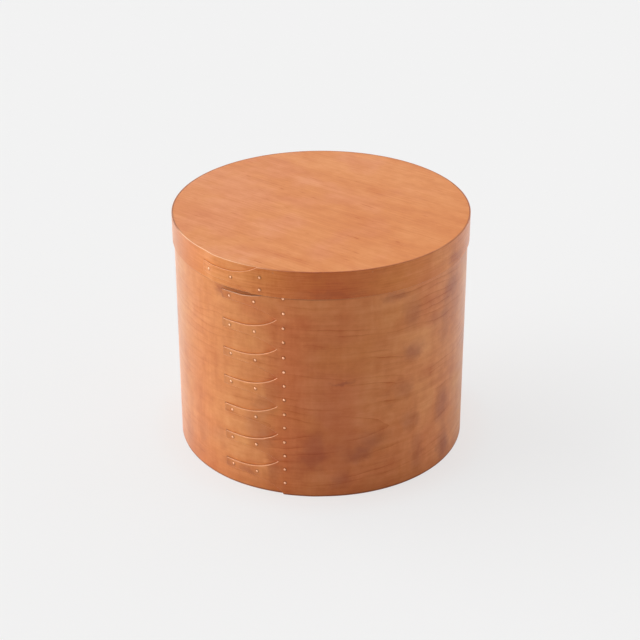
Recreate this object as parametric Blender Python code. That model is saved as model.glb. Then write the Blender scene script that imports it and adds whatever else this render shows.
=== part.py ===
"""Round lidded box of bent cherry wood: two lapped bands with swallowtail fingers, and two pegged boards.

Metres, +Z up. The origin is the centre of the underside. The laps are at the front (-Y), and their fingers
point to -X. An angle is an azimuth in degrees, counted from the front and positive towards +X.
"""

from math import acos, ceil, cos, floor, pi, radians, sin

import bmesh
import bpy
from mathutils import Matrix, Vector

# The box: a band round a bottom board
BOX_INNER_RADIUS = 0.1458
BOX_BAND_HEIGHT = 0.2429
BOX_BAND_THICKNESS = 0.0024
BOTTOM_THICKNESS = 0.0065

# The lid: a band round a top board, which rests on the box band's rim
LID_BAND_HEIGHT = 0.0284
LID_BAND_THICKNESS = 0.0015
LID_TOP_THICKNESS = 0.0060

# Clearances
LID_CLEARANCE = 0.0003       # lid band round the box band
LID_SEAT = 0.0003            # lid top over the rim
BOARD_CLEARANCE = 0.0003     # edge of a board in its band
LAP_GAP = 0.0001             # between the two layers of a lap
TACK_SEAT = 0.0001           # under a tack's head and its turned-over point
SHANK_CLEARANCE = 0.00015    # round a tack's shank
PEG_CLEARANCE = 0.0001       # round a peg and behind its inner end
TACK_UNDER_LID = 0.00035     # from the lid's lower edge down to the highest head on the box

# The laps: where the upright row of tacks stands, and how the strip's two ends are thinned
BOX_ROW_ANGLE = -13.9
LID_ROW_ANGLE = -22.3
HIDDEN_REACH = 0.018         # from the row on to the strip's hidden end
FEATHER_LENGTH = 0.082
FEATHERED_THICKNESS = 0.0004
TIP_TAPER_LENGTH = 0.028
BOX_TIP_THICKNESS = 0.0016
LID_TIP_THICKNESS = 0.0012
EASE_LENGTH = 0.016          # over which a strip comes down past a step

# The fingers. Lengths run from the row of tacks towards the tips
BOX_FINGER_COUNT = 7
BOX_FINGER_REACH = 0.0665
BOX_FINGER_WIDTH = 0.0086
BOX_SWEEP_START = 0.0465
LOWEST_FINGER_HEIGHT = 0.0221  # middle of the lowest finger over the underside
LID_FINGER_REACH = 0.0682
LID_FINGER_WIDTH = 0.0116
LID_SWEEP_START = 0.0409
LID_FINGER_HEIGHT = 0.0125     # middle of the finger over the lid's lower edge
SWEEP_LENGTH = 0.0460          # half axes of the ellipse that a finger's side follows to its root
SWEEP_WIDTH = 0.0236
CHAMFER = 0.0006               # round a strip's outer face, the fingers' edges with it

# Copper tacks
TACK_HEAD_RADIUS = 0.00125
TACK_HEAD_HEIGHT = 0.0006
TACK_SHANK_WIDTH = 0.0011
TACK_POINT_LENGTH = 0.0020     # turned over inside the box
TACK_POINT_THICKNESS = 0.0005
TACK_TIP_WIDTH = 0.00044
TACK_TIP_THICKNESS = 0.0002
BOX_ROW_TACK_SPACING = 0.0156  # between the two at a finger's root
LID_ROW_TACK_SPACING = 0.0130
BOX_MID_TACK_REACH = 0.0296
BOX_TIP_TACK_REACH = 0.0572
LID_MID_TACK_REACH = 0.0310
LID_TIP_TACK_REACH = 0.0588

# Wooden pegs, through a band into the edge of its board
PEGS_IN_A_BOARD = 10
PEG_RADIUS = 0.0009
PEG_DEPTH = 0.0090
FIRST_BOTTOM_PEG_ANGLE = 23.0  # from the row of tacks on to the first peg
FIRST_LID_PEG_ANGLE = 5.0

# Fineness of the round shapes
STATIONS = 120  # flats round a band
SWEEP_STEPS = 6
HOLE_SIDES = 8
HEAD_SIDES = 10
DOME_STEPS = 3
SMOOTH_UNDER = 30.0  # an edge between faces at less than this angle is shaded round

CUT_MARGIN = 0.002   # how far a cutter stands out of what it cuts
MERGE_DISTANCE = 1e-6
FULL_TURN = 360.0
STATION_ANGLE = FULL_TURN / STATIONS
UP = Vector((0.0, 0.0, 1.0))


def smooth_step(share):
    share = min(max(share, 0.0), 1.0)
    return share * share * (3.0 - 2.0 * share)


def on_azimuth(angle, radius, height):
    turned = radians(angle)
    return Vector((radius * sin(turned), -radius * cos(turned), height))


class Band:
    """A strip bent round a form, with its fingered end lapped over its own feathered end.

    On the flat strip, x is the length, which is 0 at the front, y is minus the depth from the inner face,
    and z is the height. A station is a bending line, and the strip is flat between two of them. The lengths
    hold at the middle of the lap's outer layer, where the fingers are.
    """

    def __init__(self, form, height, thickness, tip_thickness, row_angle, finger_reach):
        self.form = form
        self.height = height
        self.thickness = thickness
        self.tip_thickness = tip_thickness
        outer_layer = form(0) + thickness + thickness / 2
        self.flat = radians(STATION_ANGLE) * outer_layer
        self.turn = STATIONS * self.flat
        self.row = self.length_of(row_angle)
        self.tip = self.row - finger_reach
        self.end = self.row + self.turn + HIDDEN_REACH

    def length_of(self, angle):
        return angle / STATION_ANGLE * self.flat

    def thickness_at(self, x):
        tapered = min(max((x - self.tip) / TIP_TAPER_LENGTH, 0.0), 1.0)
        feathered = min(max((self.end - x) / FEATHER_LENGTH, 0.0), 1.0)
        at_tip = self.tip_thickness + (self.thickness - self.tip_thickness) * tapered
        at_end = FEATHERED_THICKNESS + (self.thickness - FEATHERED_THICKNESS) * feathered
        return min(at_tip, at_end)

    def lifted_by(self, x):
        """How far the hidden end lifts the layer over it, which comes down again past that end."""
        past = x + self.turn - self.end
        cover = self.thickness_at(min(x + self.turn, self.end)) + LAP_GAP
        return cover * (1.0 - smooth_step((past - self.flat) / EASE_LENGTH))

    def inner(self, station):
        return self.form(station) + self.lifted_by(station * self.flat)

    def outer(self, station):
        return self.inner(station) + self.thickness_at(station * self.flat)

    def outermost(self, station):
        """The bent strip's outside, as a smooth curve that eases down past the finger tips."""
        station = (station + STATIONS / 2) % STATIONS - STATIONS / 2
        first = floor(self.tip / self.flat)
        if station >= first:
            return self.outer(station)
        bare = self.form(station) + self.thickness
        step = self.outer(first) - bare
        return bare + step * (1.0 - smooth_step((first - station) * self.flat / EASE_LENGTH))

    def bent(self, point):
        """Where a point of the flat strip comes to lie."""
        station = floor(point[0] / self.flat)
        depth = -point[1] / self.thickness
        ends = []
        for at in (station, station + 1):
            radius = self.inner(at) + depth * self.thickness_at(at * self.flat)
            ends.append(on_azimuth(at * STATION_ANGLE, radius, point[2]))
        return ends[0].lerp(ends[1], point[0] / self.flat - station)

    def layers(self, x):
        """The places on the strip that lie over each other at x."""
        return [at for at in (x, x + self.turn) if self.tip < at < self.end]

    def through(self, x, height):
        """A frame on the band's outside, its z along the hole there, and the depth of all layers under it."""
        over, under = self.layers(x)[0], self.layers(x)[-1]
        outside = self.bent((over, -self.thickness, height))
        inside = self.bent((under, 0.0, height))
        out = (outside - inside).normalized()
        frame = Matrix((UP.cross(out), UP, out)).transposed().to_4x4()
        frame.translation = outside
        return frame, (outside - inside).length


# Meshes and objects

def clear_scene():
    for obj in list(bpy.data.objects):
        bpy.data.objects.remove(obj)


def material(name, colour, roughness, metallic=0.0):
    made = bpy.data.materials.new(name)
    made.use_nodes = True
    shader = made.node_tree.nodes["Principled BSDF"]
    shader.inputs["Base Color"].default_value = (*colour, 1.0)
    shader.inputs["Roughness"].default_value = roughness
    shader.inputs["Metallic"].default_value = metallic
    made.diffuse_color = (*colour, 1.0)
    return made


def object_of(bm, name):
    mesh = bpy.data.meshes.new(name)
    bm.to_mesh(mesh)
    bm.free()
    obj = bpy.data.objects.new(name, mesh)
    bpy.context.scene.collection.objects.link(obj)
    return obj


def evaluated_mesh(obj):
    graph = bpy.context.evaluated_depsgraph_get()
    return bpy.data.meshes.new_from_object(obj.evaluated_get(graph))


def boolean(obj, other, operation):
    """Makes the Boolean of two objects the first one's mesh, and removes the second."""
    modifier = obj.modifiers.new(operation.lower(), "BOOLEAN")
    modifier.operation = operation
    modifier.object = other
    before = obj.data
    made = evaluated_mesh(obj)
    obj.modifiers.clear()
    obj.data = made
    bpy.data.meshes.remove(before)
    bpy.data.objects.remove(other)


def finish(obj, look):
    obj.data.name = obj.name
    obj.data.shade_smooth()
    obj.data.set_sharp_from_angle(angle=radians(SMOOTH_UNDER))
    obj.data.materials.clear()
    obj.data.materials.append(look)
    return obj


def numbered(stem, count):
    return [f"{stem}_{i + 1:02d}" for i in range(count)] if count > 1 else [stem]


def drills(frames, radius, depth):
    """One cutter of all the round holes whose mouths are at frames and whose bottoms lie depth behind."""
    bm = bmesh.new()
    for frame in frames:
        centred = frame @ Matrix.Translation((0.0, 0.0, (CUT_MARGIN - depth) / 2))
        bmesh.ops.create_cone(bm, cap_ends=True, segments=HOLE_SIDES, radius1=radius, radius2=radius,
                              depth=depth + CUT_MARGIN, matrix=centred)
    return object_of(bm, "holes")


# Bands

def opening_outline(tip, sweep_start, half_room):
    """The gap beside a finger, symmetric about its middle: straight from the mouth, then swept to its top.

    half_room is the straight gap's half width. Where it is more than the sweep's width, the top is square.
    """
    last = acos(max(1.0 - half_room / SWEEP_WIDTH, 0.0))
    side = [(tip - CUT_MARGIN, half_room)]
    for step in range(SWEEP_STEPS + 1):
        swept = last * step / SWEEP_STEPS
        across = half_room - SWEEP_WIDTH * (1.0 - cos(swept))
        side.append((sweep_start + SWEEP_LENGTH * sin(swept), max(across, 0.0)))
    other = [(x, -across) for x, across in reversed(side)]
    return side + (other[1:] if side[-1][1] == 0.0 else other)


def opening_cutter(openings, thickness):
    """Prisms of the openings, each an outline and its middle's height, stood up through the strip."""
    curve = bpy.data.curves.new("openings", "CURVE")
    curve.dimensions = "2D"
    curve.fill_mode = "BOTH"
    curve.extrude = thickness / 2 + CUT_MARGIN
    for outline, middle in openings:
        spline = curve.splines.new("POLY")
        spline.points.add(len(outline) - 1)
        for point, (x, across) in zip(spline.points, outline):
            point.co = (x, middle + across, 0.0, 1.0)
        spline.use_cyclic_u = True
    obj = bpy.data.objects.new("openings", curve)
    bpy.context.scene.collection.objects.link(obj)
    obj.rotation_euler.x = pi / 2
    obj.location.y = -thickness / 2
    bpy.context.view_layer.update()
    mesh = evaluated_mesh(obj)
    mesh.transform(obj.matrix_world)
    bpy.data.objects.remove(obj)
    bm = bmesh.new()
    bm.from_mesh(mesh)
    bpy.data.meshes.remove(mesh)
    bmesh.ops.remove_doubles(bm, verts=bm.verts, dist=MERGE_DISTANCE)
    bmesh.ops.recalc_face_normals(bm, faces=bm.faces)
    return object_of(bm, "openings")


def flat_strip(name, band, openings):
    """The strip with its openings, the edges of its outer face chamfered, scored at each bending line."""
    bm = bmesh.new()
    size = (band.end - band.tip, band.thickness, band.height)
    middle = ((band.end + band.tip) / 2, -band.thickness / 2, band.height / 2)
    bmesh.ops.create_cube(bm, matrix=Matrix.LocRotScale(middle, None, size))
    obj = object_of(bm, name)
    boolean(obj, opening_cutter(openings, band.thickness), "DIFFERENCE")
    bm = bmesh.new()
    bm.from_mesh(obj.data)
    outer = [face for face in bm.faces if face.calc_center_median().y < MERGE_DISTANCE - band.thickness]
    walls = [face for face in bm.faces if face not in outer]
    rim = [edge for face in outer for edge in face.edges if any(other in walls for other in edge.link_faces)]
    bmesh.ops.bevel(bm, geom=rim, offset=CHAMFER, segments=1, profile=0.5, affect="EDGES", material=-1)
    for station in range(ceil(band.tip / band.flat), floor(band.end / band.flat) + 1):
        every = bm.verts[:] + bm.edges[:] + bm.faces[:]
        bmesh.ops.bisect_plane(bm, geom=every, dist=MERGE_DISTANCE, plane_co=(station * band.flat, 0.0, 0.0),
                               plane_no=(1.0, 0.0, 0.0))
    bm.to_mesh(obj.data)
    bm.free()
    return obj


def fingered_band(name, band, openings, rows, pegs, look):
    """Drills the holes in the flat strip, then bends it."""
    obj = flat_strip(name, band, openings)
    outwards = Matrix.Rotation(pi / 2, 4, "X")
    tacks = [(x, height) for x, heights in rows.values() for height in heights]
    for places, radius in ((tacks, tack_hole_radius()), (pegs, peg_hole_radius())):
        mouths = [Matrix.Translation((at, -band.thickness, height)) @ outwards
                  for x, height in places for at in band.layers(x)]
        boolean(obj, drills(mouths, radius, band.thickness + CUT_MARGIN), "DIFFERENCE")
    for vertex in obj.data.vertices:
        vertex.co = band.bent(vertex.co)
    return finish(obj, look)


# Boards and pegs

def peg_hole_radius():
    return PEG_RADIUS + PEG_CLEARANCE / cos(pi / HOLE_SIDES)


def peg_places(band, first_angle, height):
    """Evenly spaced from the row of tacks on, each as a length on the strip and a height."""
    spacing = band.turn / PEGS_IN_A_BOARD
    first = band.row + band.length_of(first_angle)
    places = [first + spacing * i for i in range(PEGS_IN_A_BOARD)]
    return [(x if x < band.tip + band.turn else x - band.turn, height) for x in places]


def peg_frame(band, x, height):
    """Where the outer layer is cut away beside the fingers, a peg starts at the inner one."""
    beside_fingers = band.tip < x < band.row
    return band.through(x + band.turn if beside_fingers else x, height)


def board(name, band, base, thickness, pegs, look):
    """A flat board that fills the band, drilled from its edge for the pegs."""
    bm = bmesh.new()
    bmesh.ops.create_cone(bm, cap_ends=True, segments=STATIONS, radius1=1.0, radius2=1.0, depth=thickness,
                          matrix=Matrix.Translation((0.0, 0.0, base + thickness / 2)))
    front = Vector((0.0, -1.0))
    for vertex in bm.verts:
        station = round(-vertex.co.xy.angle_signed(front) * STATIONS / (2 * pi))
        vertex.co = on_azimuth(station * STATION_ANGLE, band.form(station) - BOARD_CLEARANCE, vertex.co.z)
    obj = object_of(bm, name)
    frames = [peg_frame(band, *place) for place in pegs]
    depth = max(grip for _, grip in frames) + PEG_DEPTH + PEG_CLEARANCE
    boolean(obj, drills([frame for frame, _ in frames], peg_hole_radius(), depth), "DIFFERENCE")
    return finish(obj, look)


def peg(name, band, place, look):
    frame, grip = peg_frame(band, *place)
    length = grip + PEG_DEPTH
    bm = bmesh.new()
    bmesh.ops.create_cone(bm, cap_ends=True, segments=HOLE_SIDES, radius1=PEG_RADIUS, radius2=PEG_RADIUS,
                          depth=length, matrix=Matrix.Translation((0.0, 0.0, -length / 2)))
    obj = object_of(bm, name)
    obj.matrix_local = frame
    return finish(obj, look)


def pegged_board(names, band, base, thickness, pegs, looks):
    board_name, peg_name = names
    pieces = [board(board_name, band, base, thickness, pegs, looks["board"])]
    for name, place in zip(numbered(peg_name, PEGS_IN_A_BOARD), pegs):
        pieces.append(peg(name, band, place, looks["peg"]))
    return pieces


# Tacks

def tack_hole_radius():
    half_diagonal = TACK_SHANK_WIDTH / 2 ** 0.5
    return (half_diagonal + SHANK_CLEARANCE) / cos(pi / HOLE_SIDES)


def tack_head(name):
    """A flat-bottomed dome, turned from its profile."""
    bm = bmesh.new()
    turns = [pi / 2 * step / DOME_STEPS for step in range(DOME_STEPS + 1)]
    profile = [(TACK_HEAD_RADIUS * sin(turn), TACK_HEAD_HEIGHT * cos(turn)) for turn in turns] + [(0.0, 0.0)]
    points = [bm.verts.new((radius, 0.0, TACK_SEAT + height)) for radius, height in profile]
    edges = [bm.edges.new(pair) for pair in zip(points, points[1:])]
    bmesh.ops.spin(bm, geom=points + edges, axis=UP, cent=(0.0, 0.0, 0.0), angle=2 * pi, steps=HEAD_SIDES,
                   use_merge=True)
    bmesh.ops.remove_doubles(bm, verts=bm.verts, dist=MERGE_DISTANCE)
    bmesh.ops.recalc_face_normals(bm, faces=bm.faces)
    return object_of(bm, name)


def pulled(bm, face, by):
    """Extrudes a face by a vector, and returns the points that moved."""
    end = bmesh.ops.extrude_discrete_faces(bm, faces=[face])["faces"][0]
    bmesh.ops.translate(bm, verts=end.verts, vec=by)
    return list(end.verts)


def tack_shank(grip, clinched):
    """Square, through a grip of wood.

    Clinched, the point is turned over against the inner face, downwards. Otherwise it ends in the wood,
    just short of that face.
    """
    bm = bmesh.new()
    top = TACK_SEAT + TACK_HEAD_HEIGHT / 2
    bottom = -grip - TACK_SEAT if clinched else TACK_SEAT - grip
    size = (TACK_SHANK_WIDTH, TACK_SHANK_WIDTH, top - bottom)
    bmesh.ops.create_cube(bm, matrix=Matrix.LocRotScale((0.0, 0.0, (top + bottom) / 2), None, size))
    if clinched:
        end = min(bm.faces, key=lambda face: face.calc_center_median().z)
        pulled(bm, end, (0.0, 0.0, -TACK_POINT_THICKNESS))
        turned = [face for face in bm.faces if face.calc_center_median().z < bottom]
        under = min(turned, key=lambda face: face.calc_center_median().y)
        tip = pulled(bm, under, (0.0, TACK_SHANK_WIDTH / 2 - TACK_POINT_LENGTH, 0.0))
        middle = sum((vert.co for vert in tip), Vector()) / len(tip)
        narrowing = (TACK_TIP_WIDTH / TACK_SHANK_WIDTH, 1.0, TACK_TIP_THICKNESS / TACK_POINT_THICKNESS)
        bmesh.ops.scale(bm, verts=tip, vec=narrowing, space=Matrix.Translation(-middle))
    bmesh.ops.recalc_face_normals(bm, faces=bm.faces)
    return object_of(bm, "shank")


def driven_tacks(rows, band, clinched, look):
    """For each row, given with its length on the strip and its heights, tacks that share a mesh."""
    tacks = []
    for stem, (x, heights) in rows.items():
        names = numbered(stem, len(heights))
        first = tack_head(names[0])
        boolean(first, tack_shank(band.through(x, 0.0)[1], clinched), "UNION")
        finish(first, look)
        row = [first] + [bpy.data.objects.new(name, first.data) for name in names[1:]]
        for tack, height in zip(row, heights):
            tack.matrix_local = band.through(x, height)[0]
        tacks += row
    return tacks


# The box and the lid

def paired(middles, spacing):
    return [middle + side * spacing / 2 for middle in middles for side in (1, -1)]


def build_box(band, lid_base, looks):
    top_finger = lid_base - TACK_UNDER_LID - TACK_HEAD_RADIUS - BOX_ROW_TACK_SPACING / 2
    pitch = (top_finger - LOWEST_FINGER_HEIGHT) / (BOX_FINGER_COUNT - 1)
    middles = [top_finger - pitch * i for i in range(BOX_FINGER_COUNT)]
    half_width = BOX_FINGER_WIDTH / 2
    sweep = band.row - BOX_SWEEP_START
    between = opening_outline(band.tip, sweep, pitch / 2 - half_width)
    under = opening_outline(band.tip, sweep, LOWEST_FINGER_HEIGHT - half_width)
    over = opening_outline(band.tip, sweep, BOX_BAND_HEIGHT - top_finger - half_width)
    openings = [(between, middle - pitch / 2) for middle in middles[:-1]]
    openings += [(under, 0.0), (over, BOX_BAND_HEIGHT)]
    rows = {
        "box_row_tack": (band.row, paired(middles, BOX_ROW_TACK_SPACING)),
        "box_mid_tack": (band.row - BOX_MID_TACK_REACH, middles),
        "box_tip_tack": (band.row - BOX_TIP_TACK_REACH, middles),
    }
    pegs = peg_places(band, FIRST_BOTTOM_PEG_ANGLE, BOTTOM_THICKNESS / 2)
    pieces = [fingered_band("box_band", band, openings, rows, pegs, looks["band"])]
    pieces += pegged_board(("box_bottom", "bottom_peg"), band, 0.0, BOTTOM_THICKNESS, pegs, looks)
    return pieces + driven_tacks(rows, band, True, looks["copper"])


def build_lid(band, looks):
    half_width = LID_FINGER_WIDTH / 2
    sweep = band.row - LID_SWEEP_START
    under = opening_outline(band.tip, sweep, LID_FINGER_HEIGHT - half_width)
    over = opening_outline(band.tip, sweep, LID_BAND_HEIGHT - LID_FINGER_HEIGHT - half_width)
    openings = [(under, 0.0), (over, LID_BAND_HEIGHT)]
    middles = [LID_FINGER_HEIGHT]
    rows = {
        "lid_row_tack": (band.row, paired(middles, LID_ROW_TACK_SPACING)),
        "lid_mid_tack": (band.row - LID_MID_TACK_REACH, middles),
        "lid_tip_tack": (band.row - LID_TIP_TACK_REACH, middles),
    }
    top_base = LID_BAND_HEIGHT - LID_TOP_THICKNESS
    pegs = peg_places(band, FIRST_LID_PEG_ANGLE, top_base + LID_TOP_THICKNESS / 2)
    pieces = [fingered_band("lid_band", band, openings, rows, pegs, looks["band"])]
    pieces += pegged_board(("lid_top", "lid_peg"), band, top_base, LID_TOP_THICKNESS, pegs, looks)
    return pieces + driven_tacks(rows, band, False, looks["copper"])


def assemble(name, height, pieces, collection):
    """Parents the pieces to an empty on the box's axis, and moves them to the object's collection."""
    empty = bpy.data.objects.new(name, None)
    empty.location.z = height
    collection.objects.link(empty)
    for piece in pieces:
        for users in piece.users_collection:
            users.objects.unlink(piece)
        collection.objects.link(piece)
        piece.parent = empty


def main():
    clear_scene()
    collection = bpy.data.collections.new("shaker_box")
    bpy.context.scene.collection.children.link(collection)
    looks = {
        "band": material("cherry band", (0.42, 0.16, 0.066), 0.42),
        "board": material("cherry board", (0.60, 0.26, 0.12), 0.45),
        "peg": material("cherry peg", (0.36, 0.14, 0.06), 0.5),
        "copper": material("copper", (0.90, 0.52, 0.36), 0.3, 1.0),
    }
    box_band = Band(lambda station: BOX_INNER_RADIUS, BOX_BAND_HEIGHT, BOX_BAND_THICKNESS, BOX_TIP_THICKNESS,
                    BOX_ROW_ANGLE, BOX_FINGER_REACH)
    lid_band = Band(lambda station: box_band.outermost(station) + LID_CLEARANCE, LID_BAND_HEIGHT,
                    LID_BAND_THICKNESS, LID_TIP_THICKNESS, LID_ROW_ANGLE, LID_FINGER_REACH)
    lid_base = BOX_BAND_HEIGHT + LID_SEAT + LID_TOP_THICKNESS - LID_BAND_HEIGHT
    assemble("box", 0.0, build_box(box_band, lid_base, looks), collection)
    assemble("lid", lid_base, build_lid(lid_band, looks), collection)


main()
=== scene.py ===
from math import acos, ceil, cos, floor, pi, radians, sin
from random import Random

import bmesh
import bpy
from mathutils import Matrix, Vector


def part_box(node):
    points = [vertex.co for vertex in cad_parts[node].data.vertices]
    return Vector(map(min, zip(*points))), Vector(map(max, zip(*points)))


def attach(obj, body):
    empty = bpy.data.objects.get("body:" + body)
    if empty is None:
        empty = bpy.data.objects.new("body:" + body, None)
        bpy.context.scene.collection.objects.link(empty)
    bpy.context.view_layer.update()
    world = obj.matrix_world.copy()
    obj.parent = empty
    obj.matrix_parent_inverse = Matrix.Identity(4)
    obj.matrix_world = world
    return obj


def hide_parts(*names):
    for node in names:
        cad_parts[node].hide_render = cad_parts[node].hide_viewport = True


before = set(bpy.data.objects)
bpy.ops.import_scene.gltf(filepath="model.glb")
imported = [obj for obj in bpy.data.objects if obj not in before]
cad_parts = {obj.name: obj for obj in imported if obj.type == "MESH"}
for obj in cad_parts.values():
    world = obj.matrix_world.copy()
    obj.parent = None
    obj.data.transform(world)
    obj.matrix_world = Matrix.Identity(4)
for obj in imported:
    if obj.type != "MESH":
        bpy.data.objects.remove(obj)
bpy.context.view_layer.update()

print("frame loaded:", len(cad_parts), "nodes")

up = Vector((0.0, 0.0, 1.0))
tiny = 1e-6
stationAngle = 3.0  # degrees between the CAD band's bending lines, which the laps are counted in


# Round bentwood box. Metres; lengths on a strip run from the front (-Y) towards +X, and angles likewise,
# in degrees.

# The two strips

lap = {
    "hiddenReach": 0.018,        # from the row of tacks on to the strip's hidden end
    "featherLength": 0.082,
    "featheredThickness": 0.0004,
    "tipTaperLength": 0.028,
    "gap": 0.0001,               # between the two layers
    "easeLength": 0.016,
    "sweepLength": 0.0460,       # half axes of the ellipse that a finger's side follows
    "sweepWidth": 0.0236,
    "sweepSteps": 26,
    "rounding": 0.0006,          # of the outer face's edges
    "roundingSteps": 3,
    "cornerRounding": 0.0005,    # of the fingertips' corners
    "cutAngle": 1.0,             # degrees between the cuts along which the strip bends
}

boxStrip = {
    "innerRadius": 0.1458,
    "height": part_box("box_band")[1].z,
    "thickness": 0.0024,
    "tipThickness": 0.0016,
    "rowAngle": -13.9,
    "fingerReach": 0.0665,
    "fingerWidth": 0.0086,
    "fingers": 7,
    "sweepStart": 0.0465,
    "lowestFinger": 0.0221,      # its middle over the underside
    "highestTack": 0.0016,       # its middle under the lid's lower edge
    "rowSpacing": 0.0156,
    "midTackReach": 0.0296,
    "tipTackReach": 0.0572,
    "firstPegAngle": 23.0,       # from the row of tacks on
}

lidStrip = {
    "clearance": 0.0003,         # round the box band
    "height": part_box("lid_band")[1].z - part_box("lid_band")[0].z,
    "thickness": 0.0015,
    "tipThickness": 0.0012,
    "rowAngle": -22.3,
    "fingerReach": 0.0682,
    "fingerWidth": 0.0116,
    "sweepStart": 0.0409,
    "finger": 0.0125,            # its middle over the lid's lower edge
    "rowSpacing": 0.0130,
    "midTackReach": 0.0310,
    "tipTackReach": 0.0588,
    "firstPegAngle": 5.0,
}

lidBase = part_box("lid_band")[0].z


def smoothStep(share):
    share = min(max(share, 0.0), 1.0)
    return share * share * (3.0 - 2.0 * share)


def onAzimuth(angle, radius, height):
    turned = radians(angle)
    return Vector((radius * sin(turned), -radius * cos(turned), height))


class Strip:  # flat: x is its length, y minus its depth and z its height; bent() wraps it round its form
    def __init__(self, settings, form):
        self.settings = settings
        self.form = form
        self.height, self.thickness = settings["height"], settings["thickness"]
        self.perDegree = radians(1.0) * (form(0.0) + 1.5 * self.thickness)
        self.station = stationAngle * self.perDegree
        self.turn = 360.0 * self.perDegree
        self.row = settings["rowAngle"] * self.perDegree
        self.tip = self.row - settings["fingerReach"]
        self.end = self.row + self.turn + lap["hiddenReach"]

    def thicknessAt(self, x):
        tapered = min(max((x - self.tip) / lap["tipTaperLength"], 0.0), 1.0)
        feathered = min(max((self.end - x) / lap["featherLength"], 0.0), 1.0)
        thinTip, thinEnd = self.settings["tipThickness"], lap["featheredThickness"]
        return min(thinTip + (self.thickness - thinTip) * tapered,
                   thinEnd + (self.thickness - thinEnd) * feathered)

    def liftedBy(self, x):  # by the hidden end under it
        past = x + self.turn - self.end
        cover = self.thicknessAt(min(x + self.turn, self.end)) + lap["gap"]
        return cover * (1.0 - smoothStep((past - self.station) / lap["easeLength"]))

    def radiusAt(self, x, depthShare):
        return self.form(x / self.perDegree) + self.liftedBy(x) + depthShare * self.thicknessAt(x)

    def outermost(self, angle):  # eases down past the fingertips
        angle = (angle + 180.0) % 360.0 - 180.0
        first = floor(self.tip / self.station) * stationAngle
        if angle >= first:
            return self.radiusAt(angle * self.perDegree, 1.0)
        bare = self.form(angle) + self.thickness
        step = self.radiusAt(first * self.perDegree, 1.0) - bare
        return bare + step * (1.0 - smoothStep((first - angle) * self.perDegree / lap["easeLength"]))

    def bent(self, point):
        x, y, z = point
        return onAzimuth(x / self.perDegree, self.radiusAt(x, -y / self.thickness), z)

    def layers(self, x):
        return [at for at in (x, x + self.turn) if self.tip < at < self.end]

    def through(self, x, height):  # a frame on the outside, its z outwards, and the wood's depth under it
        over, under = self.layers(x)[0], self.layers(x)[-1]
        outside = self.bent((over, -self.thickness, height))
        inside = self.bent((under, 0.0, height))
        out = (outside - inside).normalized()
        place = Matrix((up.cross(out), up, out)).transposed().to_4x4()
        place.translation = outside
        return place, (outside - inside).length


boxBand = Strip(boxStrip, lambda angle: boxStrip["innerRadius"])
lidBand = Strip(lidStrip, lambda angle: boxBand.outermost(angle) + lidStrip["clearance"])
highest = lidBase - boxStrip["highestTack"] - boxStrip["rowSpacing"] / 2
pitch = (highest - boxStrip["lowestFinger"]) / (boxStrip["fingers"] - 1)
fingerMiddles = [boxStrip["lowestFinger"] + pitch * index for index in range(boxStrip["fingers"])]


def openingSide(strip, halfRoom):  # one side of a gap beside a finger, from its mouth to its top
    sweep = strip.row - strip.settings["sweepStart"]
    last = acos(max(1.0 - halfRoom / lap["sweepWidth"], 0.0))
    side = [(strip.tip, halfRoom)]
    for step in range(lap["sweepSteps"] + 1):
        swept = last * step / lap["sweepSteps"]
        across = halfRoom - lap["sweepWidth"] * (1.0 - cos(swept))
        side.append((sweep + lap["sweepLength"] * sin(swept), max(across, 0.0)))
    return side


def stripOutline(strip, middles):  # middles of the fingers, from the lowest up
    half = strip.settings["fingerWidth"] / 2
    outline = [(strip.end, 0.0)]
    outline += reversed(openingSide(strip, middles[0] - half))
    for low, high in zip(middles, middles[1:]):
        between = openingSide(strip, (high - low) / 2 - half)
        middle = (low + high) / 2
        outline += [(x, middle - across) for x, across in between]
        outline += [(x, middle + across) for x, across in reversed(between[:-1])]
    over = openingSide(strip, strip.height - middles[-1] - half)
    outline += [(x, strip.height - across) for x, across in over]
    if over[-1][1] > 0.0:
        outline.append((over[-1][0], strip.height))
    return outline + [(strip.end, strip.height)]


def finishPiece(bm, name, body, look, sharpFrom=36.0):  # stands for the CAD node of its name
    bmesh.ops.recalc_face_normals(bm, faces=bm.faces)
    mesh = bpy.data.meshes.new(name)
    bm.to_mesh(mesh)
    bm.free()
    mesh.shade_smooth()
    mesh.set_sharp_from_angle(angle=radians(sharpFrom))
    mesh.materials.append(look)
    piece = bpy.data.objects.new(name, mesh)
    bpy.context.scene.collection.objects.link(piece)
    weighted = piece.modifiers.new("even shading", "WEIGHTED_NORMAL")
    weighted.keep_sharp = True
    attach(piece, body)
    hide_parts(name)


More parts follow.
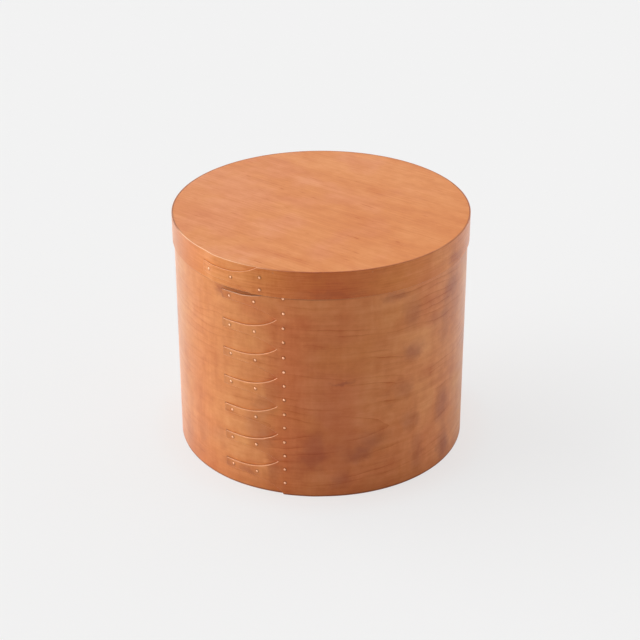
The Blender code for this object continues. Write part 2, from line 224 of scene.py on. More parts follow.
def bentBand(name, strip, middles, base, body, look):
    bm = bmesh.new()
    corners = [bm.verts.new((x, 0.0, z)) for x, z in stripOutline(strip, middles)]
    edges = [bm.edges.new(pair) for pair in zip(corners, corners[1:] + corners[:1])]
    bmesh.ops.contextual_create(bm, geom=edges)
    tips = [vert for vert in bm.verts if vert.co.x < strip.tip + tiny]
    bmesh.ops.bevel(bm, geom=tips, offset=lap["cornerRounding"], segments=lap["roundingSteps"], profile=0.5,
                    affect="VERTICES", material=-1)
    grown = bmesh.ops.extrude_face_region(bm, geom=bm.faces[:])["geom"]
    outerVerts = [item for item in grown if isinstance(item, bmesh.types.BMVert)]
    bmesh.ops.translate(bm, verts=outerVerts, vec=(0.0, -strip.thickness, 0.0))
    outer = {face for face in bm.faces if face.calc_center_median().y < tiny - strip.thickness}
    rim = [edge for face in outer for edge in face.edges
           if any(other not in outer for other in edge.link_faces)]
    bmesh.ops.bevel(bm, geom=rim, offset=lap["rounding"], segments=lap["roundingSteps"], profile=0.5,
                    affect="EDGES", material=-1)
    cut = lap["cutAngle"] * strip.perDegree
    for index in range(ceil(strip.tip / cut), floor(strip.end / cut) + 1):
        bmesh.ops.bisect_plane(bm, geom=bm.verts[:] + bm.edges[:] + bm.faces[:], dist=tiny,
                               plane_co=(index * cut, 0.0, 0.0), plane_no=(1.0, 0.0, 0.0))
    flat = bm.verts.layers.float_vector.new("flat")  # where a point was on the flat strip, for the grain
    for vert in bm.verts:
        vert[flat] = (vert.co.x, -vert.co.y, vert.co.z)
        vert.co = strip.bent(vert.co) + base * up
    openEdges = [edge for edge in bm.edges if len(edge.link_faces) != 2]
    print(f"{name}: {len(bm.faces)} faces, {len(openEdges)} open edges")
    finishPiece(bm, name, body, look)


# Boards and pegs

boards = {
    "sides": 720,
    "gap": 0.00004,              # edge of a board in its band
    "easing": 0.00025,
    "easingSteps": 2,
}

pegs = {
    "perBoard": 10,
    "radius": 0.0009,
    "depth": 0.0090,
    "proud": 0.00003,
    "sides": 24,
    "rounding": 0.0002,
    "roundingSteps": 2,
}


def easeFlats(bm, offset, steps):  # the edges round the two ends of an upright drum
    flats = [face for face in bm.faces if len(face.verts) > 4]
    bmesh.ops.bevel(bm, geom=list({edge for face in flats for edge in face.edges}), offset=offset,
                    segments=steps, profile=0.5, affect="EDGES", material=-1)


def roundBoard(name, strip, base, thickness, body, look):
    bm = bmesh.new()
    bmesh.ops.create_circle(bm, cap_ends=True, radius=1.0, segments=boards["sides"])
    front = Vector((0.0, -1.0))
    for vert in bm.verts:
        angle = -vert.co.xy.angle_signed(front) * 180.0 / pi
        vert.co = onAzimuth(angle, strip.form(angle) - boards["gap"], base)
    grown = bmesh.ops.extrude_face_region(bm, geom=bm.faces[:])["geom"]
    bmesh.ops.translate(bm, verts=[item for item in grown if isinstance(item, bmesh.types.BMVert)],
                        vec=thickness * up)
    easeFlats(bm, boards["easing"], boards["easingSteps"])
    finishPiece(bm, name, body, look)


def pegPlaces(strip):
    spacing = strip.turn / pegs["perBoard"]
    first = strip.row + strip.settings["firstPegAngle"] * strip.perDegree
    places = [first + spacing * index for index in range(pegs["perBoard"])]
    return [x if x < strip.tip + strip.turn else x - strip.turn for x in places]


def woodenPegs(stem, strip, height, base, body, look):
    for index, x in enumerate(pegPlaces(strip)):
        besideFingers = strip.tip < x < strip.row
        place, grip = strip.through(x + strip.turn if besideFingers else x, height)
        length = grip + pegs["depth"]
        bm = bmesh.new()
        bmesh.ops.create_cone(bm, cap_ends=True, segments=pegs["sides"], radius1=pegs["radius"],
                              radius2=pegs["radius"], depth=length,
                              matrix=Matrix.Translation((0.0, 0.0, pegs["proud"] - length / 2)))
        easeFlats(bm, pegs["rounding"], pegs["roundingSteps"])
        bmesh.ops.transform(bm, matrix=Matrix.Translation(base * up) @ place, verts=bm.verts)
        name = f"{stem}_{index + 1:02d}"
        finishPiece(bm, name, body, look)


# Tacks

tacks = {
    "headRadius": 0.00125,
    "headHeight": 0.00062,
    "seat": 0.00004,             # under the head
    "sides": 20,
    "domeSteps": 6,
    "rimShare": 0.16,            # of the head's height that is its upright rim
    "undersideShare": 0.97,      # of the head's radius
    "shankRadius": 0.00052,
    "pointLength": 0.0017,
    "pointThickness": 0.0005,
    "pointNarrowing": 0.45,
    "pointSteps": 4,
    "unclinchedShare": 0.9,      # of the wood's depth, where a point isn't turned over
    "leastSquash": 0.86,
    "mostTilt": 4.0,             # degrees, as a hammer leaves them
    "astray": 0.00045,
    "seed": 11,
}


def pulled(bm, face, by):
    end = bmesh.ops.extrude_discrete_faces(bm, faces=[face])["faces"][0]
    bmesh.ops.translate(bm, verts=end.verts, vec=by)
    return end


def tackMesh(grip, clinched, squash):
    bm = bmesh.new()
    underside = tacks["headRadius"] * tacks["undersideShare"]
    rim = tacks["headHeight"] * tacks["rimShare"]
    dome = tacks["headHeight"] * squash - rim
    turns = [pi / 2 * step / tacks["domeSteps"] for step in range(tacks["domeSteps"] + 1)]
    profile = [(tacks["headRadius"] * sin(turn), rim + dome * cos(turn)) for turn in turns]
    profile.append((underside, 0.0))
    points = [bm.verts.new((radius, 0.0, tacks["seat"] + height)) for radius, height in profile]
    edges = [bm.edges.new(pair) for pair in zip(points, points[1:])]
    bmesh.ops.spin(bm, geom=points + edges, axis=up, cent=(0.0, 0.0, 0.0), angle=2 * pi,
                   steps=tacks["sides"], use_merge=True)
    bmesh.ops.remove_doubles(bm, verts=bm.verts, dist=tiny)
    under = [edge for edge in bm.edges if edge.is_boundary]
    base = bmesh.ops.contextual_create(bm, geom=under)["faces"][0]
    bmesh.ops.inset_individual(bm, faces=[base], thickness=underside - tacks["shankRadius"])
    # the shank goes through the wood and, clinched, is bent down flat inside
    end = pulled(bm, base, (0.0, 0.0, -grip if clinched else -grip * tacks["unclinchedShare"]))
    if clinched:
        thin = tacks["pointThickness"] / (2 * tacks["shankRadius"])
        turn = Matrix.Rotation(pi / 2 / tacks["pointSteps"], 3, "X")
        hinge = Vector((0.0, -tacks["shankRadius"], -grip - tacks["pointThickness"] / 5))
        for step in range(tacks["pointSteps"]):
            end = pulled(bm, end, (0.0, 0.0, 0.0))
            bmesh.ops.rotate(bm, verts=end.verts, cent=hinge, matrix=turn)
        for share in (0.5, 1.0):
            end = pulled(bm, end, (0.0, -tacks["pointLength"] / 2, 0.0))
            middle = sum((vert.co for vert in end.verts), Vector()) / len(end.verts)
            narrowed = (1.0 - tacks["pointNarrowing"] * share, 1.0, thin)
            bmesh.ops.scale(bm, verts=end.verts, vec=narrowed, space=Matrix.Translation(-middle))
    return bm


def drivenTacks(stem, strip, x, heights, base, clinched, body, look, chance):
    for index, height in enumerate(heights):
        astray = [chance.uniform(-1.0, 1.0) * tacks["astray"] for way in "xz"]
        place, grip = strip.through(x + astray[0], height + astray[1])
        bm = tackMesh(grip, clinched, chance.uniform(tacks["leastSquash"], 1.0))
        tilt = Matrix.Identity(4)
        for axis in "XY":
            tilt @= Matrix.Rotation(radians(chance.uniform(-1.0, 1.0) * tacks["mostTilt"]), 4, axis)
        crown = bm.verts.layers.float.new("crown")  # a point's height on the head
        head = [vert for vert in bm.verts if vert.co.z > 0.0]
        for vert in head:
            vert[crown] = (vert.co.z - tacks["seat"]) / tacks["headHeight"]
        bmesh.ops.transform(bm, matrix=tilt, verts=head)
        bmesh.ops.transform(bm, matrix=Matrix.Translation(base * up) @ place, verts=bm.verts)
        name = f"{stem}_{index + 1:02d}" if len(heights) > 1 else stem
        finishPiece(bm, name, body, look, sharpFrom=60.0)


# Materials

class Signal:  # a socket in an expression: each operator adds its Math node
    def __init__(self, look, socket):
        self.look, self.socket = look, socket

    def __add__(self, other):
        return self.look.maths("ADD", self, other)

    def __radd__(self, other):
        return self.look.maths("ADD", other, self)

    def __sub__(self, other):
        return self.look.maths("SUBTRACT", self, other)

    def __rsub__(self, other):
        return self.look.maths("SUBTRACT", other, self)

    def __mul__(self, other):
        return self.look.maths("MULTIPLY", self, other)

    def __rmul__(self, other):
        return self.look.maths("MULTIPLY", other, self)

    def __truediv__(self, other):
        return self.look.maths("DIVIDE", self, other)

    def __rtruediv__(self, other):
        return self.look.maths("DIVIDE", other, self)

    def __pow__(self, other):
        return self.look.maths("POWER", self, other)

    def __rpow__(self, other):
        return self.look.maths("POWER", other, self)

    def __neg__(self):
        return self.look.maths("MULTIPLY", self, -1.0)


class Look:  # one material and what its nodes are made with
    def __init__(self, name, constants):
        self.material = bpy.data.materials.new(name)
        self.material.use_nodes = True
        self.tree = self.material.node_tree
        self.shader = self.tree.nodes["Principled BSDF"]
        for socket, value in constants.items():
            self.shader.inputs[socket].default_value = value

    def node(self, kind, settings, inputs=None, output=0):
        made = self.tree.nodes.new("ShaderNode" + kind)
        for setting, value in settings.items():
            if setting == "stops":  # of a colour ramp
                stops = made.color_ramp.elements
                for position, colour in value[1:-1]:
                    stops.new(position).color = (*colour, 1.0)
                for stop, (position, colour) in ((stops[0], value[0]), (stops[-1], value[-1])):
                    stop.position, stop.color = position, (*colour, 1.0)
            else:
                setattr(made, setting, value)
        for socket, value in (inputs or {}).items():
            self.plug(value, made.inputs[socket])
        return Signal(self, made.outputs[output])

    def plug(self, value, socket):
        if isinstance(value, Signal):
            self.tree.links.new(value.socket, socket)
        elif hasattr(socket.default_value, "__len__") and len(value) < len(socket.default_value):
            socket.default_value = (*value, 1.0)
        else:
            socket.default_value = value

    def maths(self, operation, *values):
        return self.node("Math", {"operation": operation}, dict(enumerate(values)))

    def stretched(self, vector, by):
        return self.node("VectorMath", {"operation": "MULTIPLY"}, {0: vector, 1: by})

    def moved(self, vector, by):
        return self.node("VectorMath", {"operation": "ADD"}, {0: vector, 1: by})

    def length(self, vector):
        return self.node("VectorMath", {"operation": "LENGTH"}, {0: vector}, output=1)

    def noise(self, vector, scale=1.0, detail=2.0, roughness=0.5, output=0):
        inputs = {"Vector": vector, "Scale": scale, "Detail": detail, "Roughness": roughness}
        return self.node("TexNoise", {}, inputs, output)

    def split(self, vector):
        made = self.tree.nodes.new("ShaderNodeSeparateXYZ")
        self.plug(vector, made.inputs[0])
        return [Signal(self, socket) for socket in made.outputs]

    def joined(self, x, y, z):
        return self.node("CombineXYZ", {}, {0: x, 1: y, 2: z})

    def between(self, value, low, high, fromLow=0.0, toHigh=1.0):  # smoothly, from low to high
        inputs = {"Value": value, "From Min": low, "From Max": high, "To Min": fromLow, "To Max": toHigh}
        return self.node("MapRange", {"interpolation_type": "SMOOTHSTEP"}, inputs)

    def mixed(self, share, first, second, how="MIX"):
        settings = {"data_type": "RGBA", "blend_type": how}
        return self.node("Mix", settings, {0: share, 6: first, 7: second}, output=2)

    def ramp(self, value, stops):
        return self.node("ValToRGB", {"stops": stops}, {0: value})

    def bump(self, height, distance):
        return self.node("Bump", {}, {"Distance": distance, "Height": height})

    def finished(self, **sockets):
        for name, value in sockets.items():
            self.plug(value, self.shader.inputs[name.replace("_", " ")])
        return self.material


bandWood = {
    "dark": (0.475, 0.090, 0.014),
    "plain": (0.69, 0.236, 0.073),
    "pale": (0.875, 0.387, 0.150),
    "smudge": (0.56, 0.42, 0.56),  # this and the next three tint the wood
    "red": (0.93, 0.76, 0.74),
    "light": (1.10, 1.25, 1.38),
    "olive": (1.02, 1.10, 0.90),
    "side": (0.86, 0.905, 0.985),  # painted shade round the sides and the back
    # painted sheen: the left side greyer and pinker, as a grazing reflection makes it
    "leftSide": (0.89, 0.945, 1.07),
    "stain": (0.63, 0.52, 0.46),   # at the fingertips
    "dent": (0.54, 0.46, 0.40),    # painted shade of dents round the tack heads
    "upperEdge": (0.74, 0.72, 0.90),
    "worn": (0.95, 0.575, 0.34),   # the colours of the pale edges, worn and painted sheen, and of the painted shade in lines and corners
    # painted light on the edges that the lid's edge shades
    "wornUnderLid": (1.0, 0.70, 0.46),
    "groove": (0.20, 0.05, 0.018),
    "specular": 0.25,
    "ringSpacing": 0.0060,
    "pithHeight": 0.074,         # the height about which the grain's arches stand
    "pithDepth": 0.045,
    "pithSlope": 0.085,          # how fast the strip leaves the pith: the arches' tips point to the right
    "archPower": 1.4,            # from 1, pointed, to 2, round
    "ringShare": 0.14,
    "fibreShare": 0.09,
    "strandShare": 0.26,
    "curlShare": 0.23,
    "flameShare": 0.17,
    "mottleShare": 0.55,
    "cloudShare": 0.80,
    "roughness": 0.33,
    "footShare": 0.20,
    "stainShare": 0.70,          # round the fingertips: their stain, and the painted shade at their ends and beside them
    "lineShare": 0.42,           # painted shadow: the dark line where the lid's edge comes to
    "shadeShare": 0.40,          # the dark corner between the top finger and the lid's edge
    "wornShare": 0.7,            # of the fingers' edges, pale with wear and painted sheen
    # Marks: length round the outside from the front, height, half length, half height, strength
    "smudges": [
        (0.095, 0.148, 0.011, 0.010, 0.65),
        (0.156, 0.199, 0.012, 0.016, 0.60),
        (0.096, 0.071, 0.009, 0.010, 0.45),
        (0.143, 0.070, 0.010, 0.019, 0.75),
        (0.149, 0.018, 0.010, 0.022, 0.72),
        (0.053, 0.059, 0.014, 0.011, 0.65),
        (0.036, 0.046, 0.012, 0.007, 0.50),
        (0.086, 0.110, 0.010, 0.010, 0.35),
        (0.094, 0.190, 0.010, 0.016, 0.40),
        (0.074, 0.214, 0.012, 0.005, 0.55),
        (0.145, 0.163, 0.007, 0.024, 0.35),
        (0.019, 0.018, 0.010, 0.010, 0.40),
        (-0.007, 0.052, 0.011, 0.018, 0.50),
        (0.020, 0.129, 0.009, 0.0022, 0.55),
        (0.133, 0.172, 0.020, 0.008, 0.25),
        (0.106, 0.026, 0.008, 0.022, 0.45),
        (-0.1065, 0.2105, 0.006, 0.006, 0.70),
        (-0.058, 0.098, 0.010, 0.013, 0.40),
        (-0.054, 0.064, 0.009, 0.013, 0.40),
        (-0.049, 0.030, 0.008, 0.014, 0.40),
        (-0.112, 0.046, 0.014, 0.010, 0.25),
        (0.006, 0.085, 0.032, 0.075, 0.20),
        (0.022, 0.052, 0.018, 0.016, 0.20),
        (-0.018, 0.036, 0.012, 0.014, 0.20),
        (-0.068, 0.070, 0.010, 0.018, 0.35),
        (-0.047, 0.118, 0.009, 0.014, 0.30),
        (-0.100, 0.020, 0.010, 0.005, 0.25),
        (-0.076, 0.020, 0.009, 0.005, 0.55),
        (-0.138, 0.040, 0.009, 0.018, 0.28),
        (-0.174, 0.024, 0.009, 0.018, 0.30),
        (0.205, 0.120, 0.016, 0.012, 0.40),  # from here on at the sides and the back
        (0.236, 0.052, 0.012, 0.020, 0.45),
        (0.262, 0.178, 0.020, 0.010, 0.40),
        (0.318, 0.092, 0.014, 0.014, 0.35),
        (0.352, 0.020, 0.024, 0.010, 0.50),
        (0.415, 0.150, 0.018, 0.016, 0.35),
        (-0.216, 0.140, 0.014, 0.018, 0.35),
        (-0.262, 0.062, 0.020, 0.012, 0.45),
        (-0.330, 0.182, 0.016, 0.012, 0.40),
        (-0.372, 0.110, 0.012, 0.020, 0.35),
        (-0.430, 0.034, 0.020, 0.014, 0.45),
    ],
    "reds": [
        (0.002, 0.140, 0.045, 0.075, 0.55),
        (0.012, 0.078, 0.032, 0.058, 0.60),
        (0.030, 0.045, 0.075, 0.040, 0.45),
        (-0.033, 0.110, 0.016, 0.110, 0.80),
        (0.120, 0.040, 0.050, 0.045, 0.40),
        (0.100, 0.130, 0.040, 0.020, 0.25),
    ],
    "lights": [
        (-0.092, 0.110, 0.032, 0.150, 0.90),
        (-0.102, 0.197, 0.012, 0.010, 0.50),
        (0.122, 0.150, 0.026, 0.085, 0.70),
        (0.068, 0.128, 0.026, 0.034, 0.50),
        (0.060, 0.022, 0.024, 0.012, 0.40),
        (0.112, 0.055, 0.010, 0.018, 0.40),
        (-0.062, 0.185, 0.026, 0.050, 0.35),
        (-0.058, 0.026, 0.020, 0.010, 0.50),
        (0.107, 0.088, 0.020, 0.022, 0.68),
        (0.140, 0.192, 0.016, 0.020, 0.55),
        (-0.125, 0.190, 0.018, 0.030, 0.30),
    ],
}

lidBandWood = dict(
    bandWood, dark=(0.48, 0.085, 0.010), plain=(0.69, 0.214, 0.053), pale=(0.86, 0.34, 0.120),
    red=(0.855, 0.66, 0.585), light=(1.13, 1.36, 1.68), side=(0.886, 0.85, 0.78),
    leftSide=(0.81, 0.91, 1.25), ringSpacing=0.0030, pithHeight=-0.120, pithDepth=0.05, pithSlope=0.006,
    ringShare=0.10, fibreShare=0.22, strandShare=0.34, curlShare=0.14, flameShare=0.30, mottleShare=0.50,
    cloudShare=0.50, footShare=0.0, stainShare=0.10, lineShare=0.0, shadeShare=0.0, wornShare=0.40,
    smudges=[(0.158, 0.228, 0.012, 0.010, 0.45), (0.010, 0.226, 0.030, 0.003, 0.30)],
    reds=[(0.004, 0.235, 0.039, 0.040, 1.0)],
    lights=[(-0.092, 0.235, 0.034, 0.060, 0.90), (0.132, 0.235, 0.022, 0.060, 0.46)])

figure = {                       # the bands' grain, which follows the flat strip
    "wanderHeight": 0.026,       # how far the rings stray
    "rippleHeight": 0.006,
    "wanderDepth": 0.010,
    "pithReturn": (0.45, 0.16),  # lengths between which the pith comes closer again
    "closestShare": 0.2,         # of its depth, past them
    "lateSharpness": 6.0,        # how narrow a ring's dark side is
    "relief": 0.00006,
}

wearAndPaintedLight = {                         # pairs run from where a mark begins to where it is full
    "aroundRadius": 0.149,       # of the outside, on which lengths round it are counted
    "faintGrain": 0.74,          # the grain's strength at the left and at the back
    "grainGain": 0.40,           # and what is added between them
    "grainLeft": (-0.055, 0.0),
    "grainBack": (0.40, 0.25),
    "rings": (0.47, 0.66),       # tones of a noise, for what shows in places only
    "flame": (0.38, 0.62),
    "olive": (0.52, 0.72),
    "red": (0.48, 0.28),
    "hueShare": 0.6,
    "blotch": (0.42, 0.26),
    "blotchShare": 0.35,
    "smudgeMost": 0.9,
    "raggedness": (0.024, 0.0, 0.020),  # of the marks' edges
    "sides": (0.125, 0.205),     # from the front, either way round: where the painted shade of the sides and the painted sheen at the left come in
    "leftSheenBack": (-0.42, -0.28),  # the left side's painted sheen ends before the back
    "rimLeft": (-0.19, -0.16),   # between these the upper edge is pale: wear, and a painted highlight where the light from the left catches it
    "rimRight": (-0.03, -0.09),
    "lineRight": (0.07, -0.01),  # between these the lid's painted shadow line is strongest
    "lineBack": (-0.30, -0.16),
    "lineLeast": 0.2,
    "lineBelow": (0.0024, 0.0008),     # under the lid's edge
    "lineAbove": (-0.0030, -0.0010),
    "shadeBelow": (0.0062, 0.0030),
    "shadeLeft": (-0.105, -0.098),     # its left end
    "shadeLayer": (0.70, 0.75),  # turns of the strip, for its layer under the fingers
    "paleBelow": (0.016, 0.008),       # under the lid's edge too, for the painted light on the fingers' edges that the lid shades
    "footShade": (0.022, 0.0),    # painted shade near the floor, over the underside
    "footShadowLine": (0.0024, 0.0010),
    "footShadowGain": 3.5,
    "tipStain": (0.015, 0.002),  # from the fingertips
    "tipEnd": (0.0009, 0.0005),
    "upperEdge": (0.0009, 0.0005),     # under the strip's upper edge
    "upperEdgePale": 0.95,
    "underOutside": (0.00002, 0.0003),  # the cut edges, from the outer and from the inner face
    "overInside": (0.00001, 0.00005),
    "outer": (0.2, 0.8),         # shares of the thickness, from the inner face
    "rubbed": (0.15, 0.65),
    "innerCornerShade": (0.40, 0.05),
    "cornerLeft": (-0.0020, -0.0006),  # from the fingertips, on the layer under them
    "cornerRight": (0.0040, 0.0020),
    "cornerBeyond": (0.0008, 0.0),     # from a finger's sides
    "cornerTop": (0.010, 0.008),       # over the top finger's middle
    "dentShadeReach": 0.0018,
    "markReach": (1.7, 0.1),     # of a mark's half length and half height
}


class CherryBand(Look):  # the wood of one strip, what age and handling did to it, and painted light and shade
    def __init__(self, name, wood, strip, middles):
        super().__init__(name, {"Specular IOR Level": wood["specular"]})
        self.wood, self.strip, self.middles = wood, strip, middles
        self.flat = self.node("Attribute", {"attribute_name": "flat"}, output=1)
        self.x, self.depth, self.z = self.split(self.flat)
        self.place = self.node("TexCoord", {}, output=3)
        px, py, self.level = self.split(self.place)
        self.around = self.maths("ARCTAN2", px, -py) * wearAndPaintedLight["aroundRadius"]
        self.outer = self.within(self.depth / strip.thickness, "outer")

    def within(self, value, mark):
        return self.between(value, *wearAndPaintedLight[mark])

    def marks(self, spot, places):
        total = 0.0
        for length, height, halfLength, halfHeight, strength in places:
            away = self.moved(spot, (-length, 0.0, -height))
            away = self.length(self.stretched(away, (1.0 / halfLength, 0.0, 1.0 / halfHeight)))
            total = total + self.between(away, *wearAndPaintedLight["markReach"], toHigh=strength)
        return self.maths("MINIMUM", total, 1.0)

    def grain(self):
        wood, flat, place = self.wood, self.flat, self.place
        wander = self.noise(self.stretched(flat, (6.0, 30.0, 17.0)), detail=2.0)
        ripple = self.noise(self.stretched(flat, (30.0, 60.0, 60.0)), detail=2.0)
        across = self.z - wood["pithHeight"]
        across = across + (wander - 0.5) * figure["wanderHeight"] + (ripple - 0.5) * figure["rippleHeight"]
        below = self.x * wood["pithSlope"] + wood["pithDepth"]
        below = below * self.between(self.x, *figure["pithReturn"], fromLow=figure["closestShare"])
        below = below + self.depth + (wander - 0.5) * figure["wanderDepth"]
        power = wood["archPower"]
        rings = self.maths("ABSOLUTE", across) ** power + self.maths("ABSOLUTE", below) ** power
        rings = rings ** (1.0 / power) / wood["ringSpacing"]
        late = self.maths("FRACT", rings) ** figure["lateSharpness"]
        shown = self.noise(self.joined(rings * 0.37, self.x * 12.0, 0.0), detail=1.0)  # in places only
        fibre = self.noise(self.stretched(flat, (28.0, 600.0, 620.0)), detail=3.0, roughness=0.6)
        strand = self.noise(self.stretched(flat, (7.0, 120.0, 160.0)), detail=2.0)
        curl = self.noise(self.stretched(flat, (95.0, 20.0, 16.0)), detail=1.0)
        flame = self.noise(self.stretched(flat, (330.0, 60.0, 45.0)), detail=2.0)
        mottle = self.noise(self.stretched(place, (64.0, 64.0, 85.0)), detail=4.0, roughness=0.7)
        cloud = self.noise(self.stretched(place, (11.0, 11.0, 15.0)), detail=3.0, roughness=0.55)
        elsewhere = self.moved(place, (0.0, 0.0, 1.3))
        patch = self.noise(self.stretched(elsewhere, (14.0, 14.0, 12.0)), detail=1.0)
        flame = 0.5 + (flame - 0.5) * self.within(patch, "flame")
        lively = self.within(self.around, "grainLeft") * self.within(self.around, "grainBack")
        lively = wearAndPaintedLight["faintGrain"] + lively * wearAndPaintedLight["grainGain"]
        tone = 0.5 + (fibre - 0.5) * wood["fibreShare"] * 2.0
        tone = tone + (strand - 0.5) * wood["strandShare"] * lively
        tone = tone + (curl - 0.5) * wood["curlShare"] + (flame - 0.5) * wood["flameShare"]
        tone = tone + (mottle - 0.5) * wood["mottleShare"] + (cloud - 0.5) * wood["cloudShare"] * lively
        tone = tone - late * self.within(shown, "rings") * wood["ringShare"] * 2.0 * lively
        return tone, late, fibre, strand, cloud

    def agedWithPaintedLight(self, colour, cloud):  # by the place round the outside: age and handling, with painted shade at the sides and painted sheen at the left
        wood, place, around = self.wood, self.place, self.around
        ragged = self.noise(place, scale=60.0, detail=4.0, roughness=0.65, output=1)
        ragged = self.stretched(self.moved(ragged, (-0.5, -0.5, -0.5)), wearAndPaintedLight["raggedness"])
        spot = self.moved(self.joined(around, 0.0, self.level), ragged)
        elsewhere = self.moved(place, (3.1, 0.0, 0.0))
        hue = self.noise(self.stretched(elsewhere, (13.0, 13.0, 19.0)), detail=2.0)
        colour = self.mixed(self.within(hue, "olive") * wearAndPaintedLight["hueShare"], colour, wood["olive"], "MULTIPLY")
        colour = self.mixed(self.marks(spot, wood["lights"]), colour, wood["light"], "MULTIPLY")
        red = self.marks(spot, wood["reds"]) + self.within(hue, "red") * wearAndPaintedLight["hueShare"]
        colour = self.mixed(self.maths("MINIMUM", red, 1.0), colour, wood["red"], "MULTIPLY")
        speckle = self.noise(self.stretched(place, (36.0, 36.0, 44.0)), detail=3.0)
        smudge = self.marks(spot, wood["smudges"]) * (0.55 + speckle * 0.9) * self.outer
        smudge = smudge + self.within(cloud * 0.6 + speckle * 0.4, "blotch") * wearAndPaintedLight["blotchShare"]
        smudge = self.maths("MINIMUM", smudge, wearAndPaintedLight["smudgeMost"])
        colour = self.mixed(smudge, colour, wood["smudge"], "MULTIPLY")
        # painted shade: the sides and the back darker
        sidesShade = self.within(self.maths("ABSOLUTE", around), "sides")
        colour = self.mixed(sidesShade, colour, wood["side"], "MULTIPLY")
        # painted sheen at the left side
        left = self.within(-around, "sides") * self.within(around, "leftSheenBack")
        colour = self.mixed(left, colour, wood["leftSide"], "MULTIPLY")
        stain = self.within(self.x - self.strip.tip, "tipStain") * speckle * wood["stainShare"]
        return self.mixed(stain, colour, wood["stain"], "MULTIPLY")

    def darkLines(self, colour):  # painted shade: at the foot, a painted shadow along the lid's edge, and painted shade over the top finger
        wood = self.wood
        # painted shade darkens the band towards the floor, and a painted contact shadow lines the foot
        colour = self.mixed(self.within(self.z, "footShade") * wood["footShare"], colour, wood["dark"])
        contactShadow = self.within(self.z, "footShadowLine") * wood["footShare"] * wearAndPaintedLight["footShadowGain"]
        colour = self.mixed(contactShadow, colour, wood["groove"])
        # painted shadow under and along the lid's edge
        underLid = lidBase - self.level
        lidShadow = self.within(underLid, "lineBelow") * self.within(underLid, "lineAbove")
        strongest = self.within(self.around, "lineRight") * self.within(self.around, "lineBack")
        lidShadow = lidShadow * (wearAndPaintedLight["lineLeast"] + strongest * (1.0 - wearAndPaintedLight["lineLeast"]))
        colour = self.mixed(lidShadow * self.outer * wood["lineShare"], colour, wood["groove"])
        shade = self.within(underLid, "shadeBelow") * self.within(self.x / self.strip.turn, "shadeLayer")
        shade = shade * self.within(self.around, "shadeLeft") * wood["shadeShare"]
        return self.mixed(shade, colour, wood["groove"]), shade

    def cutEdges(self, colour):  # pale at the outside, worn and with painted sheen, with painted shade in the corner at the inside and on the fingertips' ends
        wood, strip = self.wood, self.strip
        share = self.depth / strip.thickness
        edge = self.within(strip.thickness - self.depth, "underOutside")
        edge = edge * self.within(self.depth, "overInside")
        rim = self.within(strip.height - self.z, "upperEdge")
        # the pale stretch of the upper edge is wear with a painted highlight; elsewhere the edge is darker
        # and greyer
        rubbed = self.within(self.around, "rimLeft") * self.within(self.around, "rimRight")
        darkerRim = rim * (1.0 - rubbed)
        colour = self.mixed(darkerRim * 0.8, colour, wood["upperEdge"], "MULTIPLY")
        tip = self.within(self.x - strip.tip, "tipEnd")
        wornShare = wood["wornShare"] + rim * (wearAndPaintedLight["upperEdgePale"] - wood["wornShare"])
        # the cut edges paler: wear, together with a painted sheen where they face the light
        worn = edge * self.within(share, "rubbed") * (1.0 - darkerRim) * wornShare * (1.0 - tip)
        pale = self.within(lidBase - self.z, "paleBelow")  # what the lid's edge shades is paler to make up
        colour = self.mixed(worn, colour, self.mixed(pale, wood["worn"], wood["wornUnderLid"]))
        # painted shade, in the inner corner of the cut edges and on the fingertips' end faces
        dirt = self.maths("MAXIMUM", self.within(share, "innerCornerShade") * 0.8, tip * wood["stainShare"])
        dirt = edge * dirt * (1.0 - rim)
        return self.mixed(dirt, colour, wood["groove"]), dirt

    def roundTheLap(self, colour):  # painted shade of dents round the tacks, and in the corners beside the fingertips
        wood, strip, middles = self.wood, self.strip, self.middles
        spacing = middles[1] - middles[0] if len(middles) > 1 else 1.0
        beyond = self.maths("FRACT", (self.z - middles[0]) / spacing + 0.5) - 0.5
        beyond = self.maths("ABSOLUTE", beyond) * spacing  # from the nearest finger's middle
        rows = [(0.0, strip.settings["rowSpacing"] / 2), (strip.settings["midTackReach"], 0.0),
                (strip.settings["tipTackReach"], 0.0)]
        size = wearAndPaintedLight["dentShadeReach"]
        dentShades = [(strip.row - reach, high, size, size, 1.0) for reach, high in rows]
        dent = self.marks(self.joined(self.x, 0.0, beyond), dentShades)
        colour = self.mixed(dent * self.outer, colour, wood["dent"], "MULTIPLY")
        # painted shade in the corner beside each fingertip, on the layer under it
        beside = self.x - (strip.tip + strip.turn)
        corner = self.within(beside, "cornerLeft") * self.within(beside, "cornerRight")
        corner = corner * self.within(beyond - strip.settings["fingerWidth"] / 2, "cornerBeyond")
        corner = corner * self.within(self.z - middles[-1], "cornerTop")
        return self.mixed(corner * self.outer * wood["stainShare"] * 0.6, colour, wood["groove"])

    def made(self):
        wood = self.wood
        tone, late, fibre, strand, cloud = self.grain()
        colour = self.ramp(tone, [(0.0, wood["dark"]), (0.5, wood["plain"]), (1.0, wood["pale"])])
        colour, shade = self.darkLines(self.agedWithPaintedLight(colour, cloud))
        colour, dirt = self.cutEdges(colour)
        roughness = wood["roughness"] + (fibre - 0.5) * 0.16 + late * 0.05 + (dirt + shade) * 0.4
        height = fibre * 0.6 - late * 0.4 + strand * 0.3
        return self.finished(Base_Color=self.roundTheLap(colour), Roughness=roughness,
                             Normal=self.bump(height, figure["relief"]))


boardWood = {
    "dark": (0.54, 0.116, 0.010),
    "plain": (0.690, 0.237, 0.061),
    "pale": (0.84, 0.364, 0.142),
    "pink": (1.02, 1.04, 1.50),  # tints the wood
    "specular": 0.25,
    "grainTurn": -37.0,          # degrees, about the box's axis
    "ringSpacing": 0.0046,
    "ringShare": 0.14,
    "fibreShare": 0.42,
    "strandShare": 0.30,
    "wideShare": 0.38,
    "mottleShare": 0.54,
    "cloudShare": 0.30,
    "fleckShare": 0.34,
    "pinkShare": 0.75,
    "roughness": 0.42,
}


